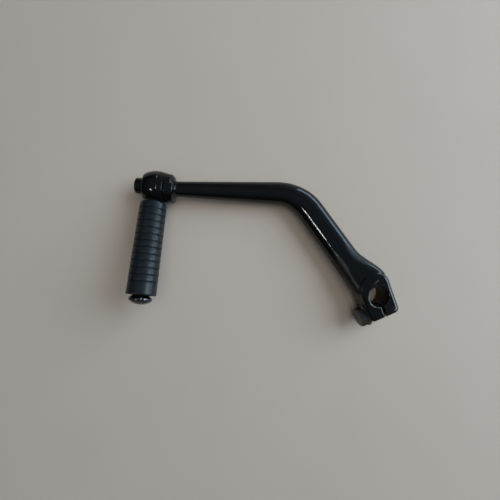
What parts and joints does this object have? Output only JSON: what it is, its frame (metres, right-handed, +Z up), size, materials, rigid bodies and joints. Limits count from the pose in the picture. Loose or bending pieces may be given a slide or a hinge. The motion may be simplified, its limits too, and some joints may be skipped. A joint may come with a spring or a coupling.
{
  "type": "kick start lever",
  "caption": "Bent forged kick start lever with a serrated pinch clamp at one end and a folding pedal with a ribbed rubber sleeve at the other.",
  "frame": {"origin": "middle of the clamp bore, on its axis", "axes": "+Z up as the lever lies on a table with its outer side up, +X from the pedal end towards the clamp end, +Y towards the bend"},
  "size_m": [0.2219, 0.1307, 0.0427],
  "materials": {
    "enamel": "gloss",
    "grip": "matte",
    "dark_steel": "black oxide",
    "plain_steel": "satin"
  },
  "bodies": {
    "arm": {"kick_arm": "enamel", "pinch_bolt": "dark_steel", "spindle_washer": "plain_steel", "spindle_circlip": "dark_steel"},
    "pedal": {"fold_pedal": "enamel", "grip_rubber": "grip", "detent_spring": "plain_steel"},
    "ball": {"detent_ball": "plain_steel"}
  },
  "joints": [
    {"name": "pedal_fold", "type": "hinge", "parent": "arm", "child": "pedal", "pos_m": [-0.18382, 0.09094, 0.0004], "axis": [-0.9955, 0.0886, 0.0326], "range_deg": [0, 84]},
    {"name": "detent_ball_press", "type": "slide", "parent": "pedal", "child": "ball", "axis": [0.9955, -0.0886, -0.0326], "range_m": [0, 0.0003], "stiffness_N_per_m": 2000, "springref_m": 0.002, "deforming": ["detent_spring"]}
  ]
}
